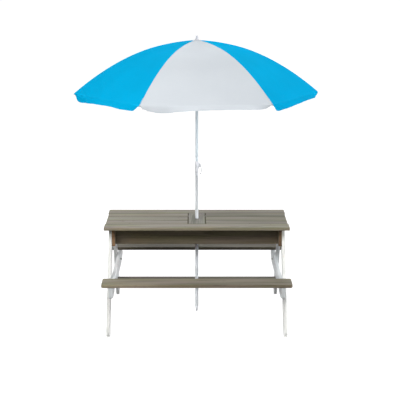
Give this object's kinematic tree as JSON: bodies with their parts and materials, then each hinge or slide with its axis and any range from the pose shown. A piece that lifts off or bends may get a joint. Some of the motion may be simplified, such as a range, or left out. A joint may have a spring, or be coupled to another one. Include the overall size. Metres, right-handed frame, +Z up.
{
  "type": "children's picnic table with sandbox",
  "caption": "Children's picnic table with attached benches, lift-off lids over play tubs, and a folding parasol on a telescoping pole.",
  "frame": {"origin": "centre of the outer box at ground level", "axes": "+X along the table to the right as seen from the front bench, +Y towards the back bench, +Z up"},
  "size_m": [1.25, 1.1344, 1.466],
  "materials": {
    "white_wood": "opaque white paint on softwood",
    "weathered_wood": "grey-brown stain on planed softwood",
    "canopy_cloth": "woven polyester, alternate panels blue and white",
    "collar_plastic": "moulded plastic",
    "lever_plastic": "moulded plastic",
    "light_plastic": "moulded plastic",
    "dark_plastic": "moulded plastic",
    "zinc_steel": "zinc plated",
    "rod_steel": "zinc plated rod",
    "pole_lower_paint": "silver painted steel tube",
    "pole_upper_paint": "silver painted steel tube",
    "tub_red": "moulded plastic",
    "tub_blue": "moulded plastic"
  },
  "bodies": {
    "table": {"beam_left": "white_wood", "beam_right": "white_wood", "bench_back": "weathered_wood", "bench_front": "weathered_wood", "box_end_left": "weathered_wood", "box_end_right": "weathered_wood", "box_wall_back": "weathered_wood", "box_wall_front": "weathered_wood", "hub_board": "weathered_wood", "leg_back_left": "white_wood", "leg_back_right": "white_wood", "leg_bolt_back_left": "zinc_steel", "leg_bolt_back_right": "zinc_steel", "leg_bolt_front_left": "zinc_steel", "leg_bolt_front_right": "zinc_steel", "leg_front_left": "white_wood", "leg_front_right": "white_wood", "rail_back": "weathered_wood", "rail_front": "weathered_wood", "stretcher_board": "weathered_wood", "tub_ledger_back": "weathered_wood", "tub_ledger_front": "weathered_wood", "tub_left": "tub_red", "tub_right": "tub_blue"},
    "lid_left": {"lid_left_batten_in": "weathered_wood", "lid_left_batten_out": "weathered_wood", "lid_left_slat_back": "weathered_wood", "lid_left_slat_front": "weathered_wood", "lid_left_slat_mid": "weathered_wood"},
    "lid_right": {"lid_right_batten_in": "weathered_wood", "lid_right_batten_out": "weathered_wood", "lid_right_slat_back": "weathered_wood", "lid_right_slat_front": "weathered_wood", "lid_right_slat_mid": "weathered_wood"},
    "pole_base": {"pole_lower": "pole_lower_paint", "pole_spike": "light_plastic", "pole_sleeve": "light_plastic", "clamp_collar": "collar_plastic", "lever_pin": "rod_steel"},
    "lever": {"clamp_lever": "lever_plastic"},
    "slider": {"guide_bushing": "dark_plastic"},
    "mast": {"pole_upper": "pole_upper_paint", "crown": "light_plastic", "finial": "light_plastic", "canopy": "canopy_cloth"},
    "runner_ring": {"runner": "light_plastic"},
    "rib_arm_1": {"rib_1": "rod_steel"},
    "strut_1": {"stretcher_1": "rod_steel"},
    "rib_arm_2": {"rib_2": "rod_steel"},
    "strut_2": {"stretcher_2": "rod_steel"},
    "rib_arm_3": {"rib_3": "rod_steel"},
    "strut_3": {"stretcher_3": "rod_steel"},
    "rib_arm_4": {"rib_4": "rod_steel"},
    "strut_4": {"stretcher_4": "rod_steel"},
    "rib_arm_5": {"rib_5": "rod_steel"},
    "strut_5": {"stretcher_5": "rod_steel"},
    "rib_arm_6": {"rib_6": "rod_steel"},
    "strut_6": {"stretcher_6": "rod_steel"}
  },
  "joints": [
    {"name": "lid_left_lift", "type": "slide", "parent": "table", "child": "lid_left", "axis": [0, 0, 1], "range_m": [0, 0.1]},
    {"name": "lid_right_lift", "type": "slide", "parent": "table", "child": "lid_right", "axis": [0, 0, 1], "range_m": [0, 0.1]},
    {"name": "parasol_lift_out", "type": "slide", "parent": "table", "child": "pole_base", "axis": [0, 0, 1], "range_m": [0, 0.51]},
    {"name": "clamp_lever_swing", "type": "hinge", "parent": "pole_base", "child": "lever", "pos_m": [0.0188, 0, 0.798], "axis": [0, -1, 0], "range_deg": [0, 95]},
    {"name": "height_adjust", "type": "slide", "parent": "pole_base", "child": "slider", "axis": [0, 0, 1], "range_m": [-0.12, 0]},
    {"name": "parasol_turn", "type": "hinge", "parent": "slider", "child": "mast", "pos_m": [0, 0, 0.69], "axis": [0, 0, 1], "continuous": true},
    {"name": "rib_1_fold", "type": "hinge", "parent": "mast", "child": "rib_arm_1", "pos_m": [-0.01246, -0.00102, 1.43689], "axis": [0.0819, -0.9966, 0], "range_deg": [0, 58], "deforming": ["canopy"]},
    {"name": "rib_2_fold", "type": "hinge", "parent": "mast", "child": "rib_arm_2", "pos_m": [-0.00534, -0.0113, 1.43689], "axis": [0.9041, -0.4274, 0], "range_deg": [0, 58.5]},
    {"name": "rib_3_fold", "type": "hinge", "parent": "mast", "child": "rib_arm_3", "pos_m": [0.00712, -0.01028, 1.43689], "axis": [0.8221, 0.5693, 0], "range_deg": [0, 58.5]},
    {"name": "rib_4_fold", "type": "hinge", "parent": "mast", "child": "rib_arm_4", "pos_m": [0.01246, 0.00102, 1.43689], "axis": [-0.0819, 0.9966, 0], "range_deg": [0, 58.5]},
    {"name": "rib_5_fold", "type": "hinge", "parent": "mast", "child": "rib_arm_5", "pos_m": [0.00534, 0.0113, 1.43689], "axis": [-0.9041, 0.4274, 0], "range_deg": [0, 58.5]},
    {"name": "rib_6_fold", "type": "hinge", "parent": "mast", "child": "rib_arm_6", "pos_m": [-0.00712, 0.01028, 1.43689], "axis": [-0.8221, -0.5693, 0], "range_deg": [0, 58.5]},
    {"name": "runner_slide", "type": "slide", "parent": "mast", "child": "runner_ring", "axis": [0, 0, 1], "range_m": [-0.2799, 0]},
    {"name": "stretcher_1_swing", "type": "hinge", "parent": "runner_ring", "child": "strut_1", "pos_m": [-0.01246, -0.00102, 1.256], "axis": [-0.0819, 0.9966, 0], "range_deg": [0, 38.44]},
    {"name": "stretcher_2_swing", "type": "hinge", "parent": "runner_ring", "child": "strut_2", "pos_m": [-0.00534, -0.0113, 1.256], "axis": [-0.9041, 0.4274, 0], "range_deg": [0, 38.44]},
    {"name": "stretcher_3_swing", "type": "hinge", "parent": "runner_ring", "child": "strut_3", "pos_m": [0.00712, -0.01028, 1.256], "axis": [-0.8221, -0.5693, 0], "range_deg": [0, 38.44]},
    {"name": "stretcher_4_swing", "type": "hinge", "parent": "runner_ring", "child": "strut_4", "pos_m": [0.01246, 0.00102, 1.256], "axis": [0.0819, -0.9966, 0], "range_deg": [0, 38.44]},
    {"name": "stretcher_5_swing", "type": "hinge", "parent": "runner_ring", "child": "strut_5", "pos_m": [0.00534, 0.0113, 1.256], "axis": [0.9041, -0.4274, 0], "range_deg": [0, 38.44]},
    {"name": "stretcher_6_swing", "type": "hinge", "parent": "runner_ring", "child": "strut_6", "pos_m": [-0.00712, 0.01028, 1.256], "axis": [0.8221, 0.5693, 0], "range_deg": [0, 38.44]}
  ],
  "couplings": [
    {"joint": "rib_2_fold", "follows": "rib_1_fold", "ratio": 1},
    {"joint": "rib_3_fold", "follows": "rib_1_fold", "ratio": 1},
    {"joint": "rib_4_fold", "follows": "rib_1_fold", "ratio": 1},
    {"joint": "rib_5_fold", "follows": "rib_1_fold", "ratio": 1},
    {"joint": "rib_6_fold", "follows": "rib_1_fold", "ratio": 1},
    {"joint": "runner_slide", "follows": "rib_1_fold", "m_per_rad": -0.27455},
    {"joint": "stretcher_1_swing", "follows": "rib_1_fold", "ratio": 0.65764},
    {"joint": "stretcher_2_swing", "follows": "rib_1_fold", "ratio": 0.65764},
    {"joint": "stretcher_3_swing", "follows": "rib_1_fold", "ratio": 0.65764},
    {"joint": "stretcher_4_swing", "follows": "rib_1_fold", "ratio": 0.65764},
    {"joint": "stretcher_5_swing", "follows": "rib_1_fold", "ratio": 0.65764},
    {"joint": "stretcher_6_swing", "follows": "rib_1_fold", "ratio": 0.65764}
  ]
}
